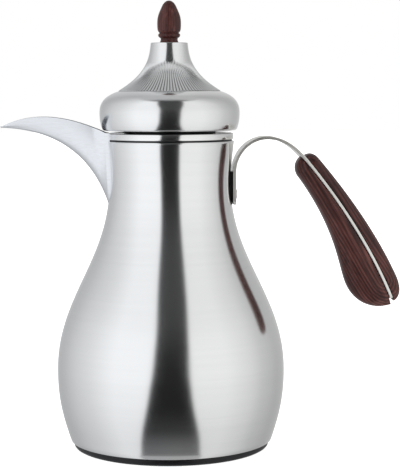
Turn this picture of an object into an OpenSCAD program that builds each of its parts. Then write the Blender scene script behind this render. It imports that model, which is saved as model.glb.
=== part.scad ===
// Dallah: an insulated coffee pot with a beak spout, a strap handle and a twist-to-pour lid.
// Millimetres, +Z up. The origin is on the pot's axis, in the plane it stands on.
// The spout points to -X and the handle to +X.

/* [Body] */
// Radius of the steel body at its lower edge
body_base_r = 65.4; // [56:0.1:80]
// How far the body leans outward from vertical at its lower edge, in degrees
body_base_lean = 17; // [8:1:24]
// Radius of the belly at its widest
belly_r = 73.6; // [68:0.1:90]
// Height of the belly's widest ring
belly_z = 50.3; // [42:0.1:62]
// Radius of the neck at its narrowest
neck_r = 39.2; // [38.6:0.1:48]
// Height of the neck's narrowest ring
neck_z = 172; // [143:0.5:210]
// How much wider the body's rolled top edge is than the narrowest ring
rim_flare = 2.3; // [1:0.1:4]
// Height of the neck above its narrowest ring
neck_flare_h = 26.6; // [22:0.1:36]
// Thickness of the outer sheet
shell_t = 0.8; // [0.5:0.1:1.4]
// Radial distance from the outer sheet's outside to the flask's outside
jacket = 7; // [5:0.1:7]
// Thickness of the inner flask's sheet
flask_t = 0.8; // [0.5:0.1:1.2]

/* [Foot] */
// Height of the black foot under the steel
foot_h = 4.8; // [3:0.1:8]
// Radius of the foot where it stands
foot_r = 61.2; // [50:0.1:64]
// Depth of the ring-shaped relief under the foot
foot_relief = 0.8; // [0.4:0.1:1.5]

/* [Mouth] */
// Radius of the bore that takes the stopper
bore_r = 28.5; // [24:0.1:29.6]
// Depth of the mouth ring below the body's top edge
mouth_depth = 20; // [16:1:26]
// Height of the dark groove between body and collar
groove_h = 1.1; // [0.8:0.1:2]
// How far the collar band stands inside the body's rolled top edge
collar_set = 0.5; // [0.2:0.1:1.2]
// Height of the collar band
collar_h = 4.1; // [3.6:0.1:7]
// Thickness of the collar band's sheet
collar_t = 0.8; // [0.5:0.1:1.2]
// Width of the pouring notch
notch_w = 13; // [8:0.5:14]

/* [Spout] */
// Height of the spout's root on the neck
spout_root_h = 45.8; // [38:0.1:55]
// How far the spout's tip reaches past the neck
spout_reach = 69; // [56:0.1:84]
// Height of the spout's tip above the collar's top
spout_tip_rise = 4.2; // [2:0.1:8]
// Width of the spout where it meets the neck
spout_w = 21; // [16:0.1:25]
// Width of the spout at its tip
spout_tip_w = 2.6; // [2.2:0.1:5]
// Thickness of the spout's sheet
spout_t = 0.9; // [0.6:0.1:1]

/* [Handle] */
// Thickness of the handle strap
strap_t = 2; // [1.6:0.1:3.2]
// Width of the strap at the neck
strap_w = 20; // [14:0.5:24]
// Width of the strap's tang inside the grip
tang_w = 24; // [20:0.5:28]
// How far the strap's lower end is below the body's top edge
strap_drop = 41.1; // [36:0.1:50]
// How far the top of the arch is above the body's top edge
arch_rise = 2.8; // [0:0.1:20]
// How far the top of the arch is from the strap on the neck
arch_out = 21.1; // [18:0.1:30]
// How far the tang's lower end reaches past the top of the arch
grip_out = 80.7; // [68:0.1:97]
// How far the tang's lower end is below the body's top edge
grip_drop = 102.6; // [86:0.1:123]
// Radius of the strap screw's shank
strap_screw_r = 2; // [1.5:0.1:2.5]

/* [Grip] */
// Thickness of the outer grip scale at its upper end
outer_scale_t = 6.4; // [5:0.1:8]
// Thickness of the outer grip scale at its lower end
outer_scale_end_t = 8.4; // [6:0.1:11]
// Thickness of the inner grip scale at its upper end
inner_scale_t = 9.2; // [6.6:0.1:10]
// Thickness of the inner grip scale at its palm swell
inner_swell_t = 21.4; // [16:0.1:26]
// Radius of the blind pins that hold the scales
grip_pin_r = 2; // [1.5:0.1:2.4]
// How far each pin reaches into a scale
grip_pin_reach = 4.4; // [3.4:0.1:4.4]

/* [Stopper] */
// Gap between the stopper's sleeve and the bore
sleeve_gap = 0.6; // [0.4:0.1:1]
// Thickness of the sleeve's wall
sleeve_t = 2.3; // [2:0.1:3]
// Clearance between parts that turn or slide on each other
run_gap = 0.3; // [0.3:0.05:0.4]
// Thickness of the rotor's wall
rotor_t = 2; // [1.6:0.1:2.6]
// Height of the silicone gasket
gasket_h = 6; // [4:0.5:8]
// Clearance between the gasket and the bore
gasket_gap = 0.1; // [0.05:0.05:0.3]

/* [Lid] */
// Gap between the collar's top and the lid's underside
lid_gap = 1.7; // [1.3:0.1:3]
// How far the dome's widest ring stands out past the collar
dome_overhang = 4; // [3:0.1:8]
// Height of the dome above its underside
dome_h = 25.2; // [20:0.1:31]
// How far the fluted cone's edge is inside the dome's widest ring
cone_set = 12.6; // [9:0.1:19]
// Height of the cone
cone_h = 30.6; // [24:0.1:38]
// Radius of the cone's flat top
cone_top_r = 11.9; // [9.5:0.1:14]
// Thickness of the lid's sheet
lid_t = 0.8; // [0.5:0.1:1.2]
// Radius of the stud that ties the lid together
stud_r = 2; // [1.6:0.1:2.4]
// Radius of the finial at its widest
finial_r = 7.6; // [7:0.05:10]
// Height of the finial
finial_h = 26.8; // [22:0.1:33]

/* [Hidden] */
$fn = 96;

// Heights that the pieces share, from the ground up
rim_r = neck_r + rim_flare;
collar_r = rim_r - collar_set;
rim_z = neck_z + neck_flare_h;
collar_z = rim_z + groove_h;
collar_top_z = collar_z + collar_h;
lid_z = collar_top_z + lid_gap;
dome_top_z = lid_z + dome_h;
cone_top_z = dome_top_z + cone_h;
bottom_plate_z = foot_h + 2.4;
flask_z = bottom_plate_z + 7;
flange_z = rim_z - 2 * flask_t;
mouth_z = rim_z - mouth_depth;
port_z = collar_z + 0.5;
port_h = collar_h - 0.8;

// Radii that the pieces share
dome_r = collar_r + dome_overhang;
cone_r = dome_r - cone_set;
plug_r = collar_r - collar_t - 0.2;
sleeve_r = bore_r - sleeve_gap;
sleeve_in_r = sleeve_r - sleeve_t;
rotor_r = sleeve_in_r - run_gap;
ledge_r = sleeve_in_r - 3;
neck_tube_r = ledge_r - run_gap;
seat_r = bore_r + 1.3;
sleeve_z = mouth_z - 1;
ledge_t = 1.8;
gasket_seat_r = sleeve_r - 1;
screw_circle_r = rotor_r - 4;
hole_gap = 0.2;
tiny = 0.01;

// ---- Curves -------------------------------------------------------------

function unit(v) = v / norm(v);
function heading(a) = [cos(a), sin(a)];

// Point at share t of a cubic curve through four control points
function cubic(p, t) = pow(1 - t, 3) * p[0] + 3 * t * pow(1 - t, 2) * p[1]
    + 3 * t * t * (1 - t) * p[2] + pow(t, 3) * p[3];

// Control points of a curve that leaves p at angle a and arrives at q at angle b
function arc(p, a, reach_p, q, b, reach_q) =
    [p, p + reach_p * heading(a), q - reach_q * heading(b), q];

function trace(ctrl, n, first = 0) = [for (i = [first:n]) cubic(ctrl, i / n)];
function reversed(v) = [for (i = [len(v) - 1:-1:0]) v[i]];
function moved(v, d) = [for (p = v) p + d];

// The body's outside, [radius, height], from its lower edge to its rolled top
body_side = concat(
    trace(arc([body_base_r, foot_h], 90 - body_base_lean, 0.29 * (belly_z - foot_h),
        [belly_r, belly_z], 90, 0.475 * (belly_z - foot_h)), 8),
    trace(arc([belly_r, belly_z], 90, 0.4 * (neck_z - belly_z),
        [neck_r, neck_z], 90, 0.415 * (neck_z - belly_z)), 20, 1),
    trace(arc([neck_r, neck_z], 90, 0.4 * neck_flare_h,
        [rim_r, rim_z], 84, 0.3 * neck_flare_h), 6, 1));
function body_r(z) = lookup(z, [for (p = body_side) [p[1], p[0]]]);

// A sheet of thickness t that follows a side curve, measured across the radius
module sheet(side, t) rotate_extrude() polygon(concat(side, reversed(moved(side, [-t, 0]))));

module ring(r_out, r_in, z, h) translate([0, 0, z]) difference() {
    cylinder(r = r_out, h = h);
    translate([0, 0, -1]) cylinder(r = r_in, h = h + 2);
}

// Straight radial channel from the axis towards direction a, at port height
module port(r, w, z, h, a) rotate([0, 0, a]) translate([0, -w / 2, z]) cube([r, w, h]);

// ---- Pot ----------------------------------------------------------------

module base_foot() color("#1f2023") rotate_extrude() polygon([
    [0, 0], [18, 0], [18, foot_relief], [foot_r - 9, foot_relief], [foot_r - 9, 0],
    [foot_r - 1, 0], [foot_r + 1, 0.5], [foot_r + 2, 1.3], [foot_r + 2.3, foot_h], [0, foot_h]]);

module base_plate() color("silver")
    translate([0, 0, foot_h]) cylinder(r = body_base_r - shell_t, h = bottom_plate_z - foot_h - 1.6);

module outer_shell() color("silver") sheet(body_side, shell_t);

flask_side = [for (p = body_side) if (p[1] > flask_z + 6 && p[1] < neck_z) p - [jacket, 0]];
flask_corner = arc([flask_side[0][0] - 8, flask_z], 0, 5, flask_side[0], 84, 4);
flask_neck_r = neck_r - jacket;
flask_out = concat([[0, flask_z]], trace(flask_corner, 5), [for (i = [1:len(flask_side) - 1]) flask_side[i]],
    [[flask_neck_r, neck_z], [flask_neck_r, flange_z]]);
flask_in = concat([[0, flask_z + flask_t]], moved(trace(flask_corner, 5), [-0.7 * flask_t, 0.7 * flask_t]),
    [for (i = [1:len(flask_side) - 1]) flask_side[i] - [flask_t, 0]],
    [[flask_neck_r - flask_t, neck_z], [flask_neck_r - flask_t, flange_z + flask_t]]);
flange_r = body_r(flange_z) - shell_t;

// Flask and the flange that closes the jacket under the mouth ring
module inner_flask() color("gainsboro") rotate_extrude() polygon(concat(flask_out,
    [[flange_r, flange_z], [flange_r, flange_z + flask_t]], reversed(flask_in)));

module mouth_ring() color("#202124") difference() {
    rotate_extrude() polygon([
        [bore_r + 0.5, mouth_z], [flask_neck_r - flask_t, mouth_z],
        [flask_neck_r - flask_t, flange_z + flask_t], [plug_r, flange_z + flask_t],
        [plug_r, collar_top_z - collar_t], [seat_r, collar_top_z - collar_t],
        [seat_r, collar_top_z], [bore_r, collar_top_z], [bore_r, mouth_z + 0.5]]);
    port(collar_r + 1, notch_w, port_z, collar_h, 180);
}

module collar_band() color("silver") difference() {
    rotate_extrude() polygon([
        [collar_r - collar_t, collar_z], [collar_r - 0.3, collar_z], [collar_r, collar_z + 0.4],
        [collar_r, collar_top_z - 0.5], [collar_r - 0.5, collar_top_z], [seat_r + 0.2, collar_top_z],
        [seat_r + 0.2, collar_top_z - collar_t], [collar_r - collar_t, collar_top_z - collar_t]]);
    port(collar_r + 1, notch_w, port_z, collar_h, 180);
}

// ---- Spout --------------------------------------------------------------

// The spout is a trough swept between two side curves, its keel and its rim.
// Its root sinks half a sheet into the body, where it is welded.
spout_stations = 20;
spout_steps = 16;
weld = 0.4;
tip = [-neck_r - spout_reach, collar_top_z + spout_tip_rise];
spout_foot_z = collar_top_z - spout_root_h;
function root_x(z) = (z > rim_z ? collar_r : body_r(z)) - weld;
keel_ctrl = arc([-root_x(spout_foot_z), spout_foot_z], 108, 0.43 * spout_reach,
    tip - [0, 0.4], 178, 0.57 * spout_reach);
rim_ctrl = arc([-root_x(collar_top_z), collar_top_z], 155, 0.385 * spout_reach,
    tip, 207, 0.34 * spout_reach);
function spout_half(u) = (spout_tip_w + (spout_w - spout_tip_w) * pow(1 - u, 0.9)) / 2;
function keel_heading(u) = unit(cubic(keel_ctrl, u + 0.01) - cubic(keel_ctrl, u - 0.01));

// One row of points across the trough, off the outside by t
function trough_row(u, t) = let (
        low = cubic(keel_ctrl, u),
        high = cubic(rim_ctrl, u),
        rise = norm(high - low),
        up = (high - low) / rise,
        skew = max(0.25, abs(cross(up, keel_heading(u)))),
        lift = min(t / skew, 0.8 * rise),
        half = max(spout_half(u) - t, 0.2 * spout_half(u)))
    [for (i = [0:spout_steps]) let (
            v = 1 - 2 * i / spout_steps,
            a = 90 * pow(1 - abs(v), 1.4),
            y = half * sign(v) * pow(cos(a), 0.75),
            p = low + up * (lift + (rise - lift) * (1 - pow(sin(a), 0.75))))
        [u == 0 ? -sqrt(pow(root_x(p[1]), 2) - y * y) : p[0], y, p[1]]];

spout_rows = [for (i = [0:spout_stations]) let (u = i / spout_stations)
    concat(trough_row(u, 0), reversed(trough_row(u, spout_t)))];

// Closed skin over rows of equal length; each end is a strip between the row's two halves
module channel_skin(rows) {
    n = len(rows[0]);
    last = len(rows) - 1;
    m = n / 2 - 1;
    sides = [for (i = [0:last - 1], j = [0:n - 1]) let (k = (j + 1) % n)
        each [[i * n + j, i * n + k, (i + 1) * n + k], [i * n + j, (i + 1) * n + k, (i + 1) * n + j]]];
    root_end = [for (j = [0:m - 1]) each [[j, n - 1 - j, n - 2 - j], [j, n - 2 - j, j + 1]]];
    tip_end = [for (f = root_end) [for (k = [2:-1:0]) f[k] + last * n]];
    polyhedron([for (row = rows) each row], concat(sides, root_end, tip_end));
}

module spout() color("gainsboro") channel_skin(spout_rows);

// ---- Handle -------------------------------------------------------------

strap_foot_z = rim_z - strap_drop;
strap_x = max(body_r(strap_foot_z), body_r(rim_z - 14)) + strap_t / 2 + 0.05;
arch_x = strap_x + arch_out;
arch_mid_z = rim_z + arch_rise - strap_t / 2;
grip_end = [arch_x + grip_out, rim_z - grip_drop];
rise_z = arch_mid_z - 22.3;
tang_top = [arch_x + 24.7, arch_mid_z - 14.1];
tang_span = norm(grip_end - tang_top);
tang_ctrl = arc(tang_top, -50, 0.32 * tang_span, grip_end, -68, 0.32 * tang_span);
tang_steps = 24;
tang_line = trace(tang_ctrl, tang_steps);
tang_len = 1.004 * tang_span;
strap_line = concat([[strap_x, strap_foot_z]],
    trace(arc([strap_x, rise_z], 90, 12, [arch_x, arch_mid_z], 0, 0.55 * (arch_x - strap_x)), 10),
    trace(arc([arch_x, arch_mid_z], 0, 11, tang_top, -50, 9), 8, 1),
    [for (i = [1:tang_steps]) tang_line[i]]);

// Left-hand normal of a line at its point i
function side_of(line, i) = let (
        a = line[max(i - 1, 0)],
        b = line[min(i + 1, len(line) - 1)],
        d = unit(b - a))
    [-d[1], d[0]];
function beside(line, d) = [for (i = [0:len(line) - 1]) line[i] + d * side_of(line, i)];

// Place at distance s down the tang, running straight past either end
function tang_at(s) = s < 0 ? tang_top + s * heading(-50)
    : s > tang_len ? grip_end + (s - tang_len) * heading(-68)
    : cubic(tang_ctrl, s / tang_len);
function tang_side(s) = let (d = unit(tang_at(s + 0.5) - tang_at(s - 0.5))) [-d[1], d[0]];
pin_places = [0.24 * tang_len, 0.8 * tang_len];

// Half of the strap seen from above: narrow at the neck, wider in the grip, with clipped end corners
strap_plan = [[0, strap_w / 2], [strap_x + 4, strap_w / 2], [tang_top[0], tang_w / 2],
    [grip_end[0] - 1.2, tang_w / 2], [grip_end[0] + 0.3, tang_w / 2 - 2],
    [grip_end[0] + 1, tang_w / 2 - 4.5]];
screw_z = strap_foot_z + 6.5;

// Cylinder of radius r across the tang at distance s, from n0 to n1 off its middle
module across_tang(s, r, n0, n1) {
    p = tang_at(s);
    n = tang_side(s);
    translate([p[0], 0, p[1]]) rotate([0, 90 - atan2(n[1], n[0]), 0])
        translate([0, 0, n0]) cylinder(r = r, h = n1 - n0);
}

module handle_strap() color("silver") difference() {
    intersection() {
        rotate([90, 0, 0]) linear_extrude(tang_w + 2, center = true)
            polygon(concat(beside(strap_line, strap_t / 2), reversed(beside(strap_line, -strap_t / 2))));
        linear_extrude(rim_z + arch_rise + 1)
            polygon(concat(strap_plan, reversed([for (p = strap_plan) [p[0], -p[1]]])));
    }
    translate([strap_x - 5, 0, screw_z]) rotate([0, 90, 0]) cylinder(r = strap_screw_r, h = 10);
    for (s = pin_places) across_tang(s, grip_pin_r, -5, 5);
}

// Saddle between the flat strap and the round neck
module handle_pad() color("#2b2c2e") difference() {
    translate([strap_x - strap_t / 2 - 8, -strap_w * 0.3, strap_foot_z + 1.5])
        cube([8, strap_w * 0.6, rise_z - strap_foot_z - 1]);
    rotate_extrude($fn = 360) polygon(concat([[0, foot_h]], body_side, [[0, rim_z]]));
    translate([strap_x - 12, 0, screw_z]) rotate([0, 90, 0]) cylinder(r = strap_screw_r, h = 12);
}

module strap_screw() color("silver") translate([strap_x, 0, screw_z]) rotate([0, 90, 0]) {
    translate([0, 0, -strap_t / 2 - 0.1]) cylinder(r = strap_screw_r, h = strap_t + 0.1);
    translate([0, 0, strap_t / 2]) cylinder(r1 = strap_screw_r + 1.4, r2 = strap_screw_r + 0.7, h = 1.3);
}

// ---- Grip ---------------------------------------------------------------

// Each scale is a row of D-shaped sections along the tang: flat on it, rounded away from it
scale_steps = 12;
glue = 0.1;
edge_t = 0.8;
function scale_side(s0, near, s1, far, lean, flat, round) = concat(
    trace(arc([s0, edge_t], 90, 0.65 * near[1], near, lean, 3), 4),
    trace(arc(near, lean, flat, far, 0, round), 12, 1),
    trace(arc(far, 0, 0.52 * (s1 - far[0]), [s1, edge_t], -90, 0.62 * far[1]), 7, 1));
outer_side = scale_side(-1.6, [5, outer_scale_t],
    tang_len + 2.8, [tang_len - 12, outer_scale_end_t], 1, 0.24 * tang_len, 0.24 * tang_len);
inner_side = scale_side(-2.6, [6, inner_scale_t],
    tang_len + 4.2, [tang_len - 19, inner_swell_t], 2.5, 0.47 * tang_len, 0.13 * tang_len);

// Half width of a scale of thickness t at distance s: full in the middle, drawn in at its ends
function scale_half(s, s0, s1) =
    tang_w / 2 * pow(max(0.02, min(1, (s - s0 + 1.5) / 9, (s1 - s + 1.5) / 8)), 0.4);

module grip_scale(side, way) {
    s0 = side[0][0];
    s1 = side[len(side) - 1][0];
    rows = [for (q = side) let (p = tang_at(q[0]), n = way * tang_side(q[0]), w = scale_half(q[0], s0, s1))
        [for (i = [0:scale_steps]) let (
                a = 180 * i / scale_steps,
                y = w * sign(cos(a)) * pow(abs(cos(a)), 0.7),
                h = strap_t / 2 + glue + q[1] * pow(sin(a), 0.7))
            [p[0] + n[0] * h, way * y, p[1] + n[1] * h]]];
    n = scale_steps + 1;
    last = len(rows) - 1;
    sides = [for (i = [0:last - 1], j = [0:n - 1]) let (k = (j + 1) % n)
        each [[i * n + j, i * n + k, (i + 1) * n + k], [i * n + j, (i + 1) * n + k, (i + 1) * n + j]]];
    polyhedron([for (row = rows) each row], concat(sides,
        [[for (j = [n - 1:-1:0]) j]], [[for (j = [0:n - 1]) last * n + j]]));
}

module grip_outer() color("#4a2724") difference() {
    grip_scale(outer_side, 1);
    for (s = pin_places) across_tang(s, grip_pin_r, 0, strap_t / 2 + grip_pin_reach + 0.2);
}

module grip_inner() color("#4a2724") difference() {
    grip_scale(inner_side, -1);
    for (s = pin_places) across_tang(s, grip_pin_r, -strap_t / 2 - grip_pin_reach - 0.2, 0);
}

module grip_pins() color("silver") for (s = pin_places)
    across_tang(s, grip_pin_r, -strap_t / 2 - grip_pin_reach, strap_t / 2 + grip_pin_reach);

// ---- Stopper ------------------------------------------------------------

gasket_z = mouth_z + 5;
seat_gap = 0.3;
flange_top_z = lid_z - run_gap;

module stopper_sleeve() color("#1b1c1e") difference() {
    rotate_extrude() polygon([
        [ledge_r, sleeve_z], [sleeve_r - 0.8, sleeve_z], [sleeve_r, sleeve_z + 0.8],
        [sleeve_r, gasket_z], [gasket_seat_r, gasket_z], [gasket_seat_r, gasket_z + gasket_h],
        [sleeve_r, gasket_z + gasket_h], [sleeve_r, collar_top_z + seat_gap],
        [seat_r - 0.2, collar_top_z + seat_gap], [seat_r - 0.2, flange_top_z],
        [sleeve_in_r, flange_top_z], [sleeve_in_r, sleeve_z + ledge_t], [ledge_r, sleeve_z + ledge_t]]);
    port(sleeve_r + 5, notch_w - 1, port_z, port_h, 180);
}

// Ring with two soft lips
module stopper_gasket() color("#d8d8d4") translate([0, 0, gasket_z]) rotate_extrude() polygon([
    [gasket_seat_r, 0], [bore_r - gasket_gap, 0.6], [bore_r - gasket_gap, 1.2],
    [gasket_seat_r + 0.6, 0.4 * gasket_h], [gasket_seat_r + 0.6, 0.6 * gasket_h],
    [bore_r - gasket_gap, gasket_h - 1.2], [bore_r - gasket_gap, gasket_h - 0.6], [gasket_seat_r, gasket_h]]);

// ---- Lid ----------------------------------------------------------------

rotor_z = sleeve_z + ledge_t + run_gap;
rotor_web = 2.4;
retainer_t = 1.8;
rotor_foot_z = sleeve_z - run_gap - retainer_t;
screw_turns = [0, 120, 240];

// Drum that turns in the sleeve. Its side ports face +Y and -Y when shut, and one faces
// the spout when open.
module rotor() color("#1b1c1e") difference() {
    rotate_extrude() polygon([
        [neck_tube_r - rotor_t, rotor_foot_z], [neck_tube_r, rotor_foot_z], [neck_tube_r, rotor_z],
        [rotor_r, rotor_z], [rotor_r, lid_z], [stud_r + hole_gap, lid_z],
        [stud_r + hole_gap, lid_z - rotor_web], [rotor_r - rotor_t, lid_z - rotor_web],
        [rotor_r - rotor_t, rotor_z + rotor_t], [neck_tube_r - rotor_t, rotor_z + rotor_t]]);
    for (a = [90, 270]) port(rotor_r + 1, notch_w - 2, port_z, port_h - 0.8, a);
    for (a = screw_turns) rotate([0, 0, a]) translate([screw_circle_r, 0, lid_z - rotor_web - 1])
        cylinder(r = 1.2, h = rotor_web + 2);
}

module rotor_retainer() color("#3a3b3d") ring(neck_tube_r + 2, neck_tube_r, rotor_foot_z, retainer_t);

base_t = 1.2;
module lid_base() color("#2a2b2d") difference() {
    translate([0, 0, lid_z]) cylinder(r = dome_r - 2.8 - lid_t, h = base_t);
    translate([0, 0, lid_z - 1]) cylinder(r = stud_r + hole_gap, h = base_t + 2);
    for (a = screw_turns) rotate([0, 0, a]) translate([screw_circle_r, 0, lid_z - 1])
        cylinder(r = 1.2, h = base_t + 2);
}

module rotor_screws() color("silver") for (a = screw_turns) rotate([0, 0, a])
    translate([screw_circle_r, 0, 0]) {
        translate([0, 0, lid_z - rotor_web]) cylinder(r = 1.2, h = rotor_web + base_t);
        translate([0, 0, lid_z + base_t]) cylinder(r = 2.3, h = 1.4);
    }

// The dome's outside, from its lower edge over the widest ring to the cone's seat
dome_wide_z = lid_z + 0.45 * dome_h;
dome_side = concat(
    [[dome_r - 2.8, lid_z]],
    trace(arc([dome_r - 1.8, lid_z + 0.8], 68, 2.5, [dome_r, dome_wide_z], 90, 0.22 * dome_h), 5),
    trace(arc([dome_r, dome_wide_z], 90, 0.32 * dome_h,
        [cone_r - 0.4, dome_top_z], 162, 0.63 * (dome_r - cone_r)), 10, 1));
module lid_dome() color("silver") rotate_extrude() polygon(concat(dome_side,
    [[cone_r - 3, dome_top_z], [cone_r - 3, dome_top_z - lid_t]],
    reversed([for (i = [1:len(dome_side) - 1]) let (p = dome_side[i])
        p - (p[1] > dome_wide_z ? lid_t * unit([1, 1.2]) : [lid_t, 0])]),
    [[dome_r - 2.8 - lid_t, lid_z]]));

cone_side = concat(trace(arc([cone_r, dome_top_z], 148, 0.49 * cone_h,
    [cone_top_r, cone_top_z - 0.8], 95, 0.49 * cone_h), 14), [[cone_top_r - 0.7, cone_top_z]]);
cone_web = 1.6;
module lid_cone() color("silver") rotate_extrude() polygon(concat(cone_side,
    [[stud_r + hole_gap, cone_top_z], [stud_r + hole_gap, cone_top_z - cone_web],
    [cone_top_r - lid_t - 0.7, cone_top_z - cone_web]],
    reversed([for (i = [0:len(cone_side) - 4]) cone_side[i] - [1.4 * lid_t, 0]])));

// Stud through the whole lid, with its nut and washer under the rotor's web
nut_h = 3.2;
washer_t = 0.8;
washer_z = lid_z - rotor_web - washer_t;
nut_z = washer_z - nut_h;
stud_reach = 0.5 * finial_h;
module lid_stud() color("silver")
    translate([0, 0, nut_z - 1]) cylinder(r = stud_r, h = cone_top_z + stud_reach - nut_z + 1);

module stud_nut() color("silver") translate([0, 0, nut_z]) difference() {
    cylinder(r = 1.95 * stud_r, h = nut_h, $fn = 6);
    translate([0, 0, -1]) cylinder(r = stud_r, h = nut_h + 2, $fn = 48);
}

module stud_washer() color("silver") ring(2.6 * stud_r, stud_r, washer_z, washer_t);

// Turned knob: a flared foot, a bead and an egg
finial_side = let (h = finial_h / 26.8, w = finial_r / 8.15) [for (p = concat(
    [[6.3, 0]], trace(arc([6.3, 0.5], 110, 0.8, [5.8, 2.2], 90, 0.7), 4),
    trace(arc([5.9, 2.9], 20, 1.9, [5.9 + 0.6, 6.1], 160, 1.9), 6),
    trace(arc([6.5, 6.1], 40, 2, [8.15, 12.4], 90, 4), 6, 1),
    trace(arc([8.15, 12.4], 90, 5, [5.2, 22.4], 114, 3), 6, 1),
    trace(arc([5.2, 22.4], 114, 3, [0, 26.8], 180, 2.2), 6, 1))) [p[0] * w, p[1] * h + cone_top_z]];
module finial_knob() color("#4a2724") rotate_extrude() polygon(concat(finial_side,
    [[0, cone_top_z + stud_reach + 0.4], [stud_r, cone_top_z + stud_reach + 0.4], [stud_r, cone_top_z]]));

base_foot();
base_plate();
outer_shell();
inner_flask();
mouth_ring();
collar_band();
spout();
handle_pad();
handle_strap();
strap_screw();
grip_outer();
grip_inner();
grip_pins();
stopper_sleeve();
stopper_gasket();
rotor();
rotor_retainer();
rotor_screws();
lid_base();
lid_dome();
lid_cone();
lid_stud();
stud_nut();
stud_washer();
finial_knob();
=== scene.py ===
"""Dallah coffee pot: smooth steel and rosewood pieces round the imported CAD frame."""

import math

import bmesh
import bpy
from mathutils import Matrix, Vector


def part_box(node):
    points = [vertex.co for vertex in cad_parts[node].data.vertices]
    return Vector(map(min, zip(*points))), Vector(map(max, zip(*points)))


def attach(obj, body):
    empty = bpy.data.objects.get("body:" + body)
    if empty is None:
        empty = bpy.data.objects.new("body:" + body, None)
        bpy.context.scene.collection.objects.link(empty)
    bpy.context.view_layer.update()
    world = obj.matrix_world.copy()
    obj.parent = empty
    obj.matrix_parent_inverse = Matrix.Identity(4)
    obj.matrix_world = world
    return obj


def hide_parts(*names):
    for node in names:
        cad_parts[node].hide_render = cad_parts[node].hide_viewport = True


bl_info = {
    "name": "Dallah Coffee Pot",
    "version": (1, 0, 0),
    "blender": (4, 5, 0),
    "location": "View3D > Sidebar > Dallah",
    "description": "Models the pot's steel, plastic and rosewood pieces round its CAD frame",
    "category": "Object",
}

MM = 0.001
# Stage, in metres and degrees
TENT_R, TENT_MIDDLE = 0.5, (0.0, 0.0, 0.12)
FLOOR_R = 7
CAMERA_AT = (-0.043, -1.0183, 0.234)
CAMERA_YAW, CAMERA_DIP, CAMERA_ROLL = -3.5, 5.35, -0.22
LENS, SENSOR = 81.25, 24
# Places on the pot that its pieces share with the CAD, in millimetres
SHEET = 0.8
COLLAR_SEAT_R = 30.0
NOTCH_Z, NOTCH_H = 200.2, 4.1
SPOUT_ROOT_H, SPOUT_TIP_RISE, SPOUT_WELD = 45.8, 4.2, 0.4
DOME_WIDE_H = 11.34
FINIAL_DRAWN_R = 8.15
STRAP_DROP, STRAP_RISE_BELOW_ARCH = 41.1, 22.3
ARCH_RISE, ARCH_OUT = 2.8, 21.1
TANG_OUT, TANG_BELOW_ARCH = 24.7, 14.1
GRIP_OUT, GRIP_DROP = 80.7, 102.6
TANG_TOP_HEADING, TANG_END_HEADING = -50, -68
SCALE_EDGE = 0.8
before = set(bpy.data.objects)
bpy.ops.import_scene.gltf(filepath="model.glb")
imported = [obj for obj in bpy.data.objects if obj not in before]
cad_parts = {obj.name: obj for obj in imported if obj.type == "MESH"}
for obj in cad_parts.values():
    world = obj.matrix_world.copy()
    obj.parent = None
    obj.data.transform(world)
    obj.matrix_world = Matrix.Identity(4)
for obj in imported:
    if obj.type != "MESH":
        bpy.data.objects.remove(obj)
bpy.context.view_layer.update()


def low(node):
    """Lowest corner of a CAD node, in millimetres."""
    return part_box(node)[0] / MM


def high(node):
    """Highest corner of a CAD node, in millimetres."""
    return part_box(node)[1] / MM


# ---- Sizes and colours that a user may change ------------------------------


def length(name, description, default):
    return bpy.props.FloatProperty(name=name, description=description, default=default * MM,
                                   min=0, unit="LENGTH", precision=5)


def tint(name, description, default):
    return bpy.props.FloatVectorProperty(name=name, description=description, default=default,
                                         subtype="COLOR", min=0, max=1)


class DallahSizes(bpy.types.PropertyGroup):
    """Sizes of the pot's visible pieces."""

    base_r: length("Base radius", "Radius of the steel body at its lower edge", 65.4)
    belly_r: length("Belly radius", "Radius of the belly at its widest", high("outer_shell").y)
    belly_z: length("Belly height", "Height of the belly's widest ring", 50.3)
    neck_r: length("Neck radius", "Radius of the neck at its narrowest", 39.2)
    neck_z: length("Neck height", "Height of the neck's narrowest ring", 172)
    rim_r: length("Rim radius", "Radius of the body's rolled top edge", 41.5)
    shell_t: length("Shell wall", "Thickness of the body's outer sheet", 0.8)
    collar_r: length("Collar radius", "Radius of the collar band", high("collar_band").y)
    notch_w: length("Notch width", "Width of the pouring notch in the collar", 13)
    spout_w: length("Spout width", "Width of the spout where it meets the neck", 21)
    spout_tip_w: length("Tip width", "Width of the spout at its tip", 2.6)
    spout_t: length("Spout wall", "Thickness of the spout's sheet", 0.9)
    dome_r: length("Dome radius", "Radius of the lid's dome at its widest", high("lid_dome").y)
    cone_foot_r: length("Cone foot radius", "Radius of the lid's cone on the dome", 32.4)
    cone_top_r: length("Cone top radius", "Radius of the lid's cone under the finial", 11.9)
    flute_depth: length("Flute depth", "Height of the ribs pressed into the cone", 0.5)
    finial_r: length("Finial radius", "Radius of the finial at its widest", 7.6)
    strap_t: length("Strap thickness", "Thickness of the handle's strap", 2)
    strap_w: length("Strap width", "Width of the strap at the neck", 20)
    tang_w: length("Tang width", "Width of the strap between the grip scales", 24)
    outer_scale_t: length("Outer scale", "Thickness of the outer grip scale near its top", 6.4)
    outer_end_t: length("Outer scale end", "Thickness of the outer grip scale near its end", 8.4)
    inner_scale_t: length("Inner scale", "Thickness of the inner grip scale near its top", 9.2)
    inner_swell_t: length("Inner swell", "Thickness of the inner grip scale at its swell", 21.4)
    flutes: bpy.props.IntProperty(name="Flutes", description="Ribs round the lid's cone",
                                  default=96, min=12, max=160)


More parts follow.
